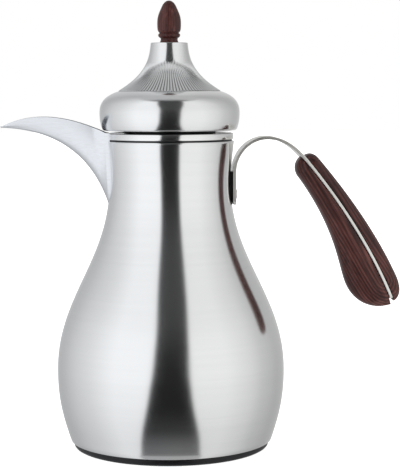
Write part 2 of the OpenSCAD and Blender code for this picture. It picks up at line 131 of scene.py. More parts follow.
class DallahColours(bpy.types.PropertyGroup):
    """Colours of the pot's finishes."""

    steel: tint("Steel", "Satin steel of the body and lid", (0.86, 0.865, 0.87))
    bright: tint("Bright steel", "Polished steel of the collar and flask", (0.88, 0.88, 0.88))
    strap: tint("Strap steel", "Polished steel of the strap", (0.91, 0.89, 0.86))
    spout: tint("Spout steel", "Polished steel of the spout", (0.79, 0.81, 0.845))
    zinc: tint("Zinc plate", "Plated screws and nut", (0.62, 0.64, 0.66))
    black: tint("Black plastic", "Moulded foot and stopper", (0.007, 0.007, 0.009))
    grey: tint("Grey plastic", "Moulded pieces inside the lid", (0.16, 0.16, 0.165))
    silicone: tint("Silicone", "Soft gasket", (0.62, 0.62, 0.6))
    wood_dark: tint("Rosewood, dark", "Dark rings of the wood", (0.026, 0.0065, 0.0055))
    wood_mid: tint("Rosewood, body", "Main colour of the wood", (0.07, 0.0185, 0.0155))
    wood_light: tint("Rosewood, light", "Light streaks of the wood", (0.155, 0.05, 0.04))


# ---- Lines in the plane of the axis: (x, z) in millimetres ----------------------


def mm(value):
    return value / MM


def heading(degrees):
    return Vector((math.cos(math.radians(degrees)), math.sin(math.radians(degrees))))


def arc(start, leave, reach, end, arrive, reach_back):
    """A curve's four control points: it leaves start at one heading and arrives at another."""
    start, end = Vector(start), Vector(end)
    return start, start + heading(leave) * reach, end - heading(arrive) * reach_back, end


def cubic(curve, t):
    a, b, c, d = curve
    u = 1 - t
    return a * u**3 + b * (3 * u * u * t) + c * (3 * u * t * t) + d * t**3


def trace(curve, steps, skip=0):
    return [cubic(curve, i / steps) for i in range(skip, steps + 1)]


def side_of(line, i):
    """Left-hand normal of a line at its point i."""
    along = (line[min(i + 1, len(line) - 1)] - line[max(i - 1, 0)]).normalized()
    return Vector((-along.y, along.x))


def walled(line, wall):
    """The closed outline of a sheet whose outside is the line, with its wall on the left."""
    inner = [p + side_of(line, i) * wall for i, p in enumerate(line)]
    return line + inner[::-1]


def body_side(size):
    foot, rim = (mm(size.base_r), high("base_foot").z), (mm(size.rim_r), high("outer_shell").z)
    belly, neck = (mm(size.belly_r), mm(size.belly_z)), (mm(size.neck_r), mm(size.neck_z))
    return (trace(arc(foot, 73, 13.2, belly, 90, 21.6), 24)
            + trace(arc(belly, 90, 48.7, neck, 90, 50.5), 60, 1)
            + trace(arc(neck, 90, 10.6, rim, 84, 8.0), 18, 1))


def radius_at(line, z):
    """Radius of a rising line at height z."""
    for a, b in zip(line, line[1:]):
        if a.y <= z <= b.y:
            return a.x + (b.x - a.x) * (z - a.y) / (b.y - a.y)
    return line[-1].x


# ---- Meshes -------------------------------------------------------------


def turned(outline, steps=160, closed=True):
    """A solid turned round the pot's axis from its outline."""
    bm = bmesh.new()
    verts = [bm.verts.new((x, 0, z)) for x, z in outline]
    pairs = list(zip(verts, verts[1:])) + ([(verts[-1], verts[0])] if closed else [])
    edges = [bm.edges.new(pair) for pair in pairs]
    bmesh.ops.spin(bm, geom=verts + edges, cent=(0, 0, 0), axis=(0, 0, 1), angle=math.tau,
                   steps=steps, use_merge=True)
    bmesh.ops.remove_doubles(bm, verts=bm.verts, dist=0.001)
    bmesh.ops.recalc_face_normals(bm, faces=bm.faces)
    return bm


def settle(name, bm, material, body, slot, *nodes):
    """Makes a piece of a mesh in millimetres: it rides on a body and stands for CAD nodes."""
    bmesh.ops.scale(bm, vec=(MM, MM, MM), verts=bm.verts)
    for face in bm.faces:
        face.smooth = True
    mesh = bpy.data.meshes.new(name)
    bm.to_mesh(mesh)
    bm.free()
    mesh.materials.append(material)
    piece = bpy.data.objects.new(name, mesh)
    bpy.context.scene.collection.objects.link(piece)
    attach(piece, body)
    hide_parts(*nodes)
    return piece


def eased(piece, width, segments=3, angle=38):
    """Rounds a piece's hard edges by a width in millimetres."""
    bevel = piece.modifiers.new("Eased edges", "BEVEL")
    bevel.width, bevel.segments, bevel.limit_method = width * MM, segments, "ANGLE"
    bevel.angle_limit = math.radians(angle)
    bevel.harden_normals = True
    return piece


# ---- Materials ------------------------------------------------------------


class Value:
    """A socket inside a node tree. Arithmetic on it adds Math nodes."""

    def __init__(self, tree, socket=None):
        self.tree, self.socket = tree, socket

    def node(self, kind, settings=None, inputs=None, out=0):
        """Adds a node: its settings are set first, then its sockets' values and links."""
        made = self.tree.nodes.new("ShaderNode" + kind)
        for name, setting in (settings or {}).items():
            if name == "stops":
                ramp = made.color_ramp
                ramp.elements.remove(ramp.elements[1])
                ramp.elements[0].position = setting[0][0]
                for place, _ in setting[1:]:
                    ramp.elements.new(place)
                for element, (_, colour) in zip(ramp.elements, setting):
                    element.color = (*colour, 1)
            else:
                setattr(made, name, setting)
        for name, value in (inputs or {}).items():
            if isinstance(value, Value):
                self.tree.links.new(value.socket, made.inputs[name])
            else:
                made.inputs[name].default_value = value
        return Value(self.tree, made.outputs[out] if made.outputs else None)

    def maths(self, operation, *values, clamp=False):
        return self.node("Math", {"operation": operation, "use_clamp": clamp},
                         dict(enumerate(values)))

    def ease(self, start, end):
        """0 below start, 1 above end, and smooth between."""
        return self.node("MapRange", {"interpolation_type": "SMOOTHSTEP"},
                         {"Value": self, "From Min": start, "From Max": end})

    def blend(self, first, second):
        """A colour between two, by this value."""
        return self.node("Mix", {"data_type": "RGBA"}, {"Factor": self, 6: first, 7: second}, out=2)

    def stretched(self, x, y, z):
        """This vector with its axes scaled."""
        return self.node("VectorMath", {"operation": "MULTIPLY"}, {0: self, 1: (x, y, z)})

    def noise(self, scale, detail=2.0, roughness=0.5):
        return self.node("TexNoise", None, {"Vector": self, "Scale": scale, "Detail": detail,
                                            "Roughness": roughness})

    def part(self, axis):
        return self.node("SeparateXYZ", None, {"Vector": self}, out="XYZ".index(axis))

    def __add__(self, other):
        return self.maths("ADD", self, other)

    def __sub__(self, other):
        return self.maths("SUBTRACT", self, other)

    def __rsub__(self, other):
        return self.maths("SUBTRACT", other, self)

    def __mul__(self, other):
        return self.maths("MULTIPLY", self, other)

    def __pow__(self, other):
        return self.maths("POWER", self, other)

    __radd__ = __add__
    __rmul__ = __mul__


def shaded(name):
    """A new material, and its Object coordinates as a value."""
    material = bpy.data.materials.new(name)
    material.use_nodes = True
    material.node_tree.nodes.clear()
    start = Value(material.node_tree)
    return material, start.node("TexCoord", out="Object")


def surfaced(material, at, **sockets):
    """Ends a material with a Principled shader whose sockets are given by their names."""
    inputs = {name.replace("_", " "): value for name, value in sockets.items()}
    shader = at.node("BsdfPrincipled", None, inputs)
    at.node("OutputMaterial", None, {"Surface": shader})
    return material


def colour4(value):
    return (*value, 1)


def bumped(at, height, distance, strength=1.0):
    return at.node("Bump", None, {"Height": height, "Distance": distance, "Strength": strength})


def turned_steel(name, tone, rough, line_depth=2e-6, flutes=0, flutes_top=0.0):
    """Steel that was brushed on a lathe: fine rings, faint smudges, painted shade along the grooves
    between flutes.
    """
    material, at = shaded(name)
    across = (at.part("X") ** 2 + at.part("Y") ** 2) ** 0.5
    along = at.part("Z") - across
    slow = at.stretched(9, 9, 0)
    rings = at.node("VectorMath", {"operation": "ADD"}, {
        0: slow, 1: at.node("CombineXYZ", None, {"Z": along * 2600})}).noise(1, 3, 0.6)
    wide = at.node("VectorMath", {"operation": "ADD"}, {
        0: slow, 1: at.node("CombineXYZ", None, {"Z": along * 420})}).noise(1, 2)
    smudge = at.noise(26, 4, 0.55)
    shade = (rings * 0.6 + wide * 0.4).ease(0.25, 0.75)
    roughness = rough + (rings - 0.5) * 0.05 + (smudge - 0.5) * 0.05
    base = shade.blend(colour4([c * 0.965 for c in tone]), colour4(tone))
    if flutes:
        # Painted shade: below the cone's top, the colour turns nearly black in the grooves between
        # the flutes, where shade falls between the ribs; the grooves are also made rougher.
        turn = at.maths("ARCTAN2", at.part("Y"), at.part("X")) * (flutes / 2)
        rib = turn.maths("ABSOLUTE", turn.maths("COSINE", turn))
        painted_groove_shade = (1 - rib).ease(0.25, 0.85) * at.part("Z").ease(flutes_top, flutes_top - 0.012)
        base = (painted_groove_shade * 0.86).blend(base, colour4([c * 0.05 for c in tone]))
        roughness = roughness + painted_groove_shade * 0.2
    return surfaced(
        material, at, Base_Color=base,
        Metallic=1.0, Roughness=roughness, Normal=bumped(at, rings, line_depth))


def drawn_steel(name, tone, rough, stretch):
    """Steel that was polished along its length."""
    material, at = shaded(name)
    lines = at.stretched(*stretch).noise(1, 3, 0.6)
    smudge = at.noise(60, 3)
    return surfaced(
        material, at,
        Base_Color=lines.ease(0.3, 0.7).blend(colour4([c * 0.94 for c in tone]), colour4(tone)),
        Metallic=1.0, Roughness=rough + (lines - 0.5) * 0.08 + (smudge - 0.5) * 0.04,
        Normal=bumped(at, lines, 3e-6))


def moulded(name, tone, rough, grain=900):
    """Moulded plastic: a fine even texture, with paler rubbed patches."""
    material, at = shaded(name)
    fine = at.noise(grain, 2)
    rubbed = at.noise(38, 5, 0.6).ease(0.52, 0.78)
    worn = [min(1, c * 1.7 + 0.006) for c in tone]
    return surfaced(
        material, at, Base_Color=(rubbed * 0.6).blend(colour4(tone), colour4(worn)),
        Roughness=rough + (fine - 0.5) * 0.16 - rubbed * 0.05, Normal=bumped(at, fine, 1.5e-5),
        Specular_IOR_Level=0.3)


def soft_rubber(name, tone):
    """Silicone: matt, a little cloudy."""
    material, at = shaded(name)
    cloud = at.noise(120, 4)
    return surfaced(
        material, at, Base_Color=cloud.blend(colour4([c * 0.86 for c in tone]), colour4(tone)),
        Roughness=0.5 + (cloud - 0.5) * 0.2, Normal=bumped(at, at.noise(1500, 2), 1e-5),
        Subsurface_Weight=0.15, Subsurface_Radius=(0.004, 0.004, 0.004), Sheen_Weight=0.1)


def plated(name, tone):
    """Zinc plate: a faint crystal pattern."""
    material, at = shaded(name)
    crystal = at.node("TexVoronoi", None, {"Vector": at, "Scale": 900.0})
    dull = at.noise(300, 3)
    return surfaced(
        material, at, Metallic=1.0, Roughness=0.32 + (dull - 0.5) * 0.2,
        Base_Color=(crystal * 0.7 + dull * 0.3).blend(colour4([c * 0.82 for c in tone]),
                                                      colour4(tone)),
        Normal=bumped(at, crystal, 4e-6))


def rosewood(name, colours, centre, turn, rings=540.0, rings_seen=0.27,
             knot=(0.0, 0.0, 0.0)):
    """Oiled rosewood: growth rings round a grain axis, fibres and open pores along it."""
    material, at = shaded(name)
    grain = at.node("Mapping", {"vector_type": "TEXTURE"}, {
        "Vector": at, "Location": centre, "Rotation": turn})
    bend = grain.stretched(7, 30, 30).noise(1, 3, 0.55)
    sway = grain.stretched(34, 160, 160).noise(1, 2)
    off = grain.node("VectorMath", {"operation": "SUBTRACT"}, {0: grain, 1: knot})
    along = off.part("X") ** 2
    past = off.part("X").ease(-0.005, 0.006) * 0.6 + 0.03
    pull = along.maths("DIVIDE", along * past, along * 1100 + 1)
    reach = (off.part("Y") ** 2 + off.part("Z") ** 2 + pull) ** 0.5
    phase = reach * (rings * math.tau) + bend * 3.4 + sway * 2.6
    ring = phase.maths("SINE", phase) * 0.5 + 0.5
    fibre = grain.stretched(45, 1500, 1500).noise(1, 4, 0.62)
    pores = grain.stretched(110, 2600, 2600).noise(1, 2).ease(0.62, 0.72)
    patch = grain.stretched(18, 60, 60).noise(1, 2)
    streak = grain.stretched(38, 620, 620).noise(1, 3, 0.7)
    light = ring * rings_seen + fibre * 0.45 + streak * 0.8 + patch * 0.4 - 0.33 - rings_seen * 0.5
    dark, mid, pale = colours
    base = light.node("ValToRGB", {"stops": [(0.3, dark), (0.52, mid), (0.78, pale)]},
                      {"Fac": light})
    base = (pores * 0.75).blend(base, colour4([c * 0.45 for c in dark]))
    return surfaced(
        material, at, Base_Color=base, Roughness=0.44 + (fibre - 0.5) * 0.22 + pores * 0.2,
        Normal=bumped(at, fibre * 0.35 - pores * 0.65, 5e-5, 0.7),
        Coat_Weight=0.12, Coat_Roughness=0.3, Specular_IOR_Level=0.3)


def finish(name):
    """The named finish, made once."""
    made = bpy.data.materials.get(name)
    if made:
        return made
    tone = bpy.context.scene.dallah_colours
    wood = [list(c) for c in (tone.wood_dark, tone.wood_mid, tone.wood_light)]
    tilt = math.radians(58)
    recipes = {
        "Satin_Steel": lambda n: turned_steel(n, list(tone.steel), 0.15),
        "Fluted_Steel": lambda n: turned_steel(
            n, list(tone.steel), 0.17, flutes=bpy.context.scene.dallah_sizes.flutes,
            flutes_top=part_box("lid_cone")[1].z - 0.0135),
        "Bright_Steel": lambda n: turned_steel(n, list(tone.bright), 0.13, 1e-6),
        "Strap_Steel": lambda n: drawn_steel(n, list(tone.strap), 0.3, (120, 2600, 120)),
        "Spout_Steel": lambda n: drawn_steel(n, list(tone.spout), 0.2, (60, 900, 900)),
        "Zinc_Plate": lambda n: plated(n, list(tone.zinc)),
        "Black_Plastic": lambda n: moulded(n, list(tone.black), 0.36),
        "Grey_Plastic": lambda n: moulded(n, list(tone.grey), 0.5),
        "Silicone": lambda n: soft_rubber(n, list(tone.silicone)),
        "Rosewood_Grip": lambda n: rosewood(n, wood, (0.1195, -0.004, 0.130), (0, tilt, 0),
                                            knot=(0.0275, -0.009, 0.0038)),
        "Rosewood_Finial": lambda n: rosewood(n, [[c * 1.15 for c in w] for w in wood],
                                              (0.003, -0.006, 0.27),
                                              (0, math.radians(90), 0), rings=760.0,
                                              rings_seen=0.14),
    }
    return recipes[name](name)


# ---- Operators: one for each piece or group of like pieces -----------------------


class PieceOperator:
    """What the pot's operators share."""

    bl_options = {"REGISTER", "UNDO"}

    @property
    def size(self):
        return bpy.context.scene.dallah_sizes


class DALLAH_OT_body(PieceOperator, bpy.types.Operator):
    """Turns the steel body and the black foot it stands on"""

    bl_idname = "dallah.body"
    bl_label = "Body and Foot"

    def execute(self, context):
        side = body_side(self.size)
        wall = mm(self.size.shell_t)
        hem = [Vector((side[0].x - 1.6, side[0].y)), side[0] + Vector((-0.35, 0.08)),
               side[0] + Vector((-0.02, 0.42))]
        settle("Steel_Body", turned(walled(hem + side[2:], wall), 200), finish("Satin_Steel"),
               "pot", "satin_steel", "outer_shell")

        top, foot_r = high("base_foot"), high("base_foot").x
        foot_line = [(0, 0), (18, 0), (18, 0.8), (52.2, 0.8), (52.2, 0),
                     (foot_r - 3.3, 0), (foot_r - 2.0, 0.2), (foot_r - 1.0, 0.75),
                     (foot_r - 0.35, 1.5), (foot_r - 0.1, 2.4), (foot_r, 3.6),
                     (foot_r, top.z), (0, top.z)]
        foot = settle("Foot", turned([Vector(p) for p in foot_line], 160, closed=False),
                      finish("Black_Plastic"), "pot", "black_plastic", "base_foot")
        eased(foot, 0.25)
        return {"FINISHED"}


class DALLAH_OT_collar(PieceOperator, bpy.types.Operator):
    """Turns the collar band round the mouth and cuts its pouring notch"""

    bl_idname = "dallah.collar"
    bl_label = "Collar"

    def execute(self, context):
        r, foot, top = mm(self.size.collar_r), low("collar_band").z, high("collar_band").z
        seat_r, wall = COLLAR_SEAT_R, SHEET
        band = [(r - wall, foot), (r - 0.3, foot), (r - 0.08, foot + 0.1), (r, foot + 0.35),
                (r, top - 0.6), (r - 0.12, top - 0.24), (r - 0.4, top - 0.05), (r - 0.75, top),
                (seat_r, top), (seat_r, top - wall), (r - wall, top - wall)]
        collar = settle("Collar", turned([Vector(p) for p in band], 192), finish("Bright_Steel"),
                        "pot", "bright_steel", "collar_band")
        cutter_mesh = bpy.data.meshes.new("Notch")
        bm = bmesh.new()
        bmesh.ops.create_cube(bm, size=1)
        bmesh.ops.scale(bm, vec=(16 * MM, self.size.notch_w, NOTCH_H * MM), verts=bm.verts)
        bmesh.ops.translate(bm, vec=Vector((-r, 0, NOTCH_Z)) * MM, verts=bm.verts)
        bm.to_mesh(cutter_mesh)
        bm.free()
        cutter = bpy.data.objects.new("Notch", cutter_mesh)
        context.scene.collection.objects.link(cutter)
        cut = collar.modifiers.new("Notch", "BOOLEAN")
        cut.object, cut.solver, cut.operation = cutter, "EXACT", "DIFFERENCE"
        cut_mesh = bpy.data.meshes.new_from_object(
            collar.evaluated_get(context.evaluated_depsgraph_get()))
        collar.modifiers.clear()
        collar.data = cut_mesh
        bpy.data.objects.remove(cutter)
        return {"FINISHED"}


class DALLAH_OT_spout(PieceOperator, bpy.types.Operator):
    """Sweeps the open spout's trough from the neck to its tip"""

    bl_idname = "dallah.spout"
    bl_label = "Spout"

    def execute(self, context):
        side = body_side(self.size)
        collar_r, collar_top = mm(self.size.collar_r), high("collar_band").z
        rim_z = high("outer_shell").z
        tip = Vector((low("spout").x, collar_top + SPOUT_TIP_RISE))
        reach = -mm(self.size.neck_r) - tip.x

        def root_x(z):
            return (collar_r if z > rim_z else radius_at(side, z)) - SPOUT_WELD

        foot_z = collar_top - SPOUT_ROOT_H
        keel = arc((-root_x(foot_z), foot_z), 108, 0.43 * reach, tip - Vector((0, 0.4)), 178,
                   0.57 * reach)
        rim = arc((-root_x(collar_top), collar_top), 155, 0.385 * reach, tip, 207, 0.34 * reach)
        root_w, tip_w = mm(self.size.spout_w), mm(self.size.spout_tip_w)

        def placed(u, v):
            bottom, top = cubic(keel, u), cubic(rim, u)
            flare = 1.9 * max(0, 1 - u / 0.13) ** 2
            half = (tip_w + (root_w - tip_w) * (1 - u) ** 0.9) / 2 + flare
            turn = math.radians(90 * (1 - abs(v)) ** 1.4)
            y = half * math.copysign(max(math.cos(turn), 0) ** 0.75, v) if abs(v) > 1e-6 else 0.0
            p = bottom + (top - bottom) * (1 - math.sin(turn) ** 0.75)
            x = -math.sqrt(root_x(p.y) ** 2 - y * y) if u < 1e-6 else p.x
            return Vector((x, y, p.y))

        bm = bmesh.new()
        bmesh.ops.create_grid(bm, x_segments=72, y_segments=48, size=1)
        for vert in bm.verts:
            u = (vert.co.x + 1) / 2
            vert.co = placed(u * u * 0.35 + u * 0.65, vert.co.y)
        bmesh.ops.recalc_face_normals(bm, faces=bm.faces)
        keel_middle = Vector((-80, 0, 203))
        keel_face = min(bm.faces, key=lambda f: (f.calc_center_median() - keel_middle).length)
        if keel_face.normal.z > 0:
            bmesh.ops.reverse_faces(bm, faces=bm.faces)
        spout = settle("Spout", bm, finish("Spout_Steel"), "pot", "satin_steel", "spout")
        wall = spout.modifiers.new("Sheet", "SOLIDIFY")
        wall.thickness, wall.offset, wall.use_even_offset = self.size.spout_t, -1, True
        eased(spout, 0.28, 3, 50)
        return {"FINISHED"}


class DALLAH_OT_lid(PieceOperator, bpy.types.Operator):
    """Turns the lid's dome and its fluted cone"""

    bl_idname = "dallah.lid"
    bl_label = "Lid Dome and Cone"

    def execute(self, context):
        r, foot, top = mm(self.size.dome_r), low("lid_dome").z, high("lid_dome").z
        wide = foot + DOME_WIDE_H
        line = [Vector((r - 6.0, foot)), Vector((r - 3.2, foot)), Vector((r - 2.75, foot + 0.06)),
                Vector((r - 2.2, foot + 0.38))]
        line += trace(arc((r - 1.8, foot + 0.8), 68, 2.5, (r, wide), 90, 5.54), 16)
        line += trace(arc((r, wide), 90, 8.06, (r - 13, top), 162, 7.94), 40, 1)
        settle("Lid_Dome", turned(walled(line, 1.0), 192), finish("Satin_Steel"),
               "lid", "satin_steel", "lid_dome")

        foot_r, top_r = mm(self.size.cone_foot_r), mm(self.size.cone_top_r)
        foot, top = low("lid_cone").z, high("lid_cone").z
        curve = trace(arc((foot_r, foot), 148, 15, (top_r, top - 0.8), 95, 15), 56)
        line = curve + [Vector((top_r - 0.03, top - 0.35)), Vector((top_r - 0.2, top - 0.08)),
                        Vector((top_r - 0.55, top)), Vector((4.0, top))]
        inner = [Vector((4.0, top - 1.2)), Vector((top_r - 1.4, top - 1.3))]
        inner += [p + side_of(curve, i) * 1.4 for i, p in list(enumerate(curve))[-6:2:-5]]
        inner += [Vector((foot_r - 3.4, foot))]
        count = self.size.flutes
        bm = turned(line + inner, count * 8)
        depth = mm(self.size.flute_depth)
        rings = {round(p.y, 2): i for i, p in enumerate(curve)}
        for vert in bm.verts:
            z, out_r = vert.co.z, math.hypot(vert.co.x, vert.co.y)
            near = rings.get(round(z, 2))
            if near is not None and abs(curve[near].x - out_r) < 0.02:
                rise = min(1.0, max(0.0, (foot + 20 - z) / 9))
                turn = math.atan2(vert.co.y, vert.co.x)
                wave = abs(math.cos(turn * count / 2)) - 0.62
                out = -side_of(curve, near) * depth * wave * rise * rise * (3 - 2 * rise)
                vert.co += Vector((out.x * math.cos(turn), out.x * math.sin(turn), out.y))
        settle("Lid_Cone", bm, finish("Fluted_Steel"), "lid", "satin_steel", "lid_cone")
        return {"FINISHED"}


class DALLAH_OT_finial(PieceOperator, bpy.types.Operator):
    """Turns the rosewood finial on top of the lid"""

    bl_idname = "dallah.finial"
    bl_label = "Finial"

    def execute(self, context):
        foot = low("finial_knob").z
        line = ([Vector((0, 0)), Vector((6.0, 0)), Vector((6.22, 0.12))]
                + trace(arc((6.3, 0.5), 110, 0.8, (5.8, 2.2), 90, 0.7), 8)
                + trace(arc((5.9, 2.9), 20, 1.9, (6.5, 6.1), 160, 1.9), 14)
                + trace(arc((6.5, 6.1), 40, 2, (8.15, 12.4), 90, 4), 14, 1)
                + trace(arc((8.15, 12.4), 90, 5, (5.2, 22.4), 114, 3), 16, 1)
                + trace(arc((5.2, 22.4), 114, 3, (0, 26.8), 180, 2.2), 14, 1))
        line[-1].x = 0
        wide = mm(self.size.finial_r) / FINIAL_DRAWN_R
        bm = turned([Vector((p.x * wide, p.y + foot)) for p in line], 96, closed=False)
        settle("Finial", bm, finish("Rosewood_Finial"), "lid", "rosewood", "finial_knob")
        return {"FINISHED"}


class Strap:
    """The middle line of the handle's strap, from its foot on the neck to the tang's end."""

    def __init__(self, size):
        self.t = mm(size.strap_t)
        rim_z = high("outer_shell").z
        self.foot = Vector((low("strap_screw").x + self.t / 2 + 0.1, rim_z - STRAP_DROP))
        arch = Vector((self.foot.x + ARCH_OUT, rim_z + ARCH_RISE - self.t / 2))
        self.rise = arch.y - STRAP_RISE_BELOW_ARCH
        self.tang_top = Vector((arch.x + TANG_OUT, arch.y - TANG_BELOW_ARCH))
        self.end = Vector((arch.x + GRIP_OUT, rim_z - GRIP_DROP))
        span = (self.end - self.tang_top).length
        self.tang = arc(self.tang_top, TANG_TOP_HEADING, 0.32 * span,
                        self.end, TANG_END_HEADING, 0.32 * span)
        self.tang_len = 1.004 * span
        rising = arc((self.foot.x, self.rise), 90, 12, arch, 0, 0.55 * (arch.x - self.foot.x))
        falling = arc(arch, 0, 11, self.tang_top, TANG_TOP_HEADING, 9)
        straight = [self.foot + Vector((0, (self.rise - self.foot.y) * i / 8)) for i in range(8)]
        self.line = straight + trace(rising, 28) + trace(falling, 22, 1) + trace(self.tang, 60, 1)

    def at(self, s):
        """Place at distance s down the tang, running straight past either end."""
        if s < 0:
            return self.tang_top + heading(TANG_TOP_HEADING) * s
        if s > self.tang_len:
            return self.end + heading(TANG_END_HEADING) * (s - self.tang_len)
        return cubic(self.tang, s / self.tang_len)

    def side(self, s):
        along = (self.at(s + 0.5) - self.at(s - 0.5)).normalized()
        return Vector((-along.y, along.x))


class DALLAH_OT_handle(PieceOperator, bpy.types.Operator):
    """Bends the steel strap of the handle and sets the screw at its foot"""

    bl_idname = "dallah.handle"
    bl_label = "Handle Strap"

    def execute(self, context):
        strap = Strap(self.size)
        half, wide = mm(self.size.strap_w) / 2, mm(self.size.tang_w) / 2
        plan = [(strap.foot.x - 9, half), (strap.foot.x + 4, half), (strap.tang_top.x, wide),
                (strap.end.x - 1.2, wide), (strap.end.x + 0.3, wide - 2),
                (strap.end.x + 1, wide - 4.5)]

        def half_width(x, z):
            for (x0, w0), (x1, w1) in zip(plan, plan[1:]):
                if x <= x1:
                    w = w0 + (w1 - w0) * (x - x0) / (x1 - x0)
                    break
            rise = z - strap.foot.y
            return w - (2.2 - math.sqrt(max(0, 2.2**2 - (2.2 - rise) ** 2)) if
                        x < strap.foot.x + 1 and rise < 2.2 else 0)

        line, rows = strap.line, len(strap.line)
        bm = bmesh.new()
        bmesh.ops.create_grid(bm, x_segments=rows - 1, y_segments=10, size=1)
        for vert in bm.verts:
            p = line[round((vert.co.x + 1) / 2 * (rows - 1))]
            vert.co = (p.x, vert.co.y * half_width(p.x, p.y), p.y)
        bmesh.ops.recalc_face_normals(bm, faces=bm.faces)
        piece = settle("Handle_Strap", bm, finish("Strap_Steel"), "pot", "bright_steel",
                       "handle_strap")
        sheet = piece.modifiers.new("Sheet", "SOLIDIFY")
        sheet.thickness, sheet.offset, sheet.use_even_offset = self.size.strap_t, 0, True
        eased(piece, 0.45, 4, 50)

        z, x = (low("strap_screw").z + high("strap_screw").z) / 2, strap.foot.x
        head = [(0, -1.1), (2.0, -1.1), (2.0, 1.0), (3.35, 1.0), (3.4, 1.15), (3.2, 1.8),
                (2.75, 2.2), (2.1, 2.3), (0, 2.3)]
        bm = turned([Vector(p) for p in head], 48, closed=False)
        slot_faces = [f for f in bm.faces if f.calc_center_median().z > 2.25]
        bmesh.ops.inset_region(bm, faces=slot_faces, thickness=0.75, depth=0)
        sunk = [f for f in slot_faces if f.is_valid]
        moved = bmesh.ops.extrude_face_region(bm, geom=sunk)["geom"]
        bmesh.ops.delete(bm, geom=sunk, context="FACES")
        bmesh.ops.translate(bm, vec=(0, 0, -0.5),
                            verts=[g for g in moved if isinstance(g, bmesh.types.BMVert)])
        bmesh.ops.rotate(bm, matrix=Matrix.Rotation(math.radians(90), 3, "Y"), verts=bm.verts)
        bmesh.ops.translate(bm, vec=(x, 0, z), verts=bm.verts)
        screw = settle("Strap_Screw", bm, finish("Bright_Steel"), "pot", "bright_steel",
                       "strap_screw")
        eased(screw, 0.12, 2)
        return {"FINISHED"}


class DALLAH_OT_grip(PieceOperator, bpy.types.Operator):
    """Shapes the two rosewood scales of the grip"""

    bl_idname = "dallah.grip"
    bl_label = "Grip Scales"

    def execute(self, context):
        size, strap = self.size, Strap(self.size)
        wide, tang_len = mm(size.tang_w) / 2, strap.tang_len

        def side_line(start, near, far, end, lean, flat, rounding):
            return (trace(arc((start, SCALE_EDGE), 90, 0.65 * near[1], near, lean, 3), 12)
                    + trace(arc(near, lean, flat, far, 0, rounding), 36, 1)
                    + trace(arc(far, 0, 0.52 * (end - far[0]), (end, SCALE_EDGE), -90,
                                0.62 * far[1]), 18, 1))

        outer = side_line(-1.6, (5, mm(size.outer_scale_t)),
                          (tang_len - 12, mm(size.outer_end_t)), tang_len + 2.8, 1,
                          0.24 * tang_len, 0.24 * tang_len)
        inner = side_line(-2.6, (6, mm(size.inner_scale_t)),
                          (tang_len - 19, mm(size.inner_swell_t)), tang_len + 4.2, 2.5,
                          0.47 * tang_len, 0.13 * tang_len)

        def shaped(side, way):
            rows, first, last = len(side) + 1, side[0].x, side[-1].x
            bm = bmesh.new()
            bmesh.ops.create_uvsphere(bm, u_segments=64, v_segments=rows, radius=1)
            for vert in bm.verts:
                row = round(math.acos(max(-1, min(1, vert.co.z))) / math.pi * rows)
                turn = math.atan2(vert.co.y, vert.co.x)
                s, thick = side[min(max(row - 1, 0), len(side) - 1)]
                pole = row in (0, rows)
                lip = min(0.9, thick * 0.45)
                reach = max(0.02, min(1, (s - first + 1.5) / 9, (last - s + 1.5) / 8))
                half = wide * reach**0.4
                y = half * math.copysign(abs(math.cos(turn)) ** 0.72, math.cos(turn))
                lift = ((thick - lip) * math.sin(turn) ** 0.74 if turn > 0
                        else -lip * abs(math.sin(turn)) ** 0.45)
                if pole:
                    y = lift = 0
                    s += 0.25 if row else -0.25
                height = way * (strap.t / 2 + 0.06 + lip + lift)
                p = strap.at(s) + strap.side(s) * height
                vert.co = (p.x, way * y, p.y)
            bmesh.ops.recalc_face_normals(bm, faces=bm.faces)
            return bm

        for name, node, side, way in (("Grip_Outer", "grip_outer", outer, 1),
                                      ("Grip_Inner", "grip_inner", inner, -1)):
            settle(name, shaped(side, way), finish("Rosewood_Grip"), "pot", "rosewood", node)
        return {"FINISHED"}


class DALLAH_OT_fittings(PieceOperator, bpy.types.Operator):
    """Gives the CAD pieces that stay their finishes"""

    bl_idname = "dallah.fittings"
    bl_label = "Finishes of the Fittings"

    def execute(self, context):
        kept = {
            "Bright_Steel": ("inner_flask", "base_plate"),
            "Strap_Steel": ("grip_pins",),
            "Black_Plastic": ("mouth_ring", "handle_pad", "stopper_sleeve", "rotor",
                              "rotor_retainer"),
            "Grey_Plastic": ("lid_base",),
            "Silicone": ("stopper_gasket",),
            "Zinc_Plate": ("rotor_screws", "lid_stud", "stud_nut", "stud_washer"),
        }
        for name, nodes in kept.items():
            for node in nodes:
                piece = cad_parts[node]
                for slot in piece.material_slots:
                    slot.material = finish(name)
        return {"FINISHED"}


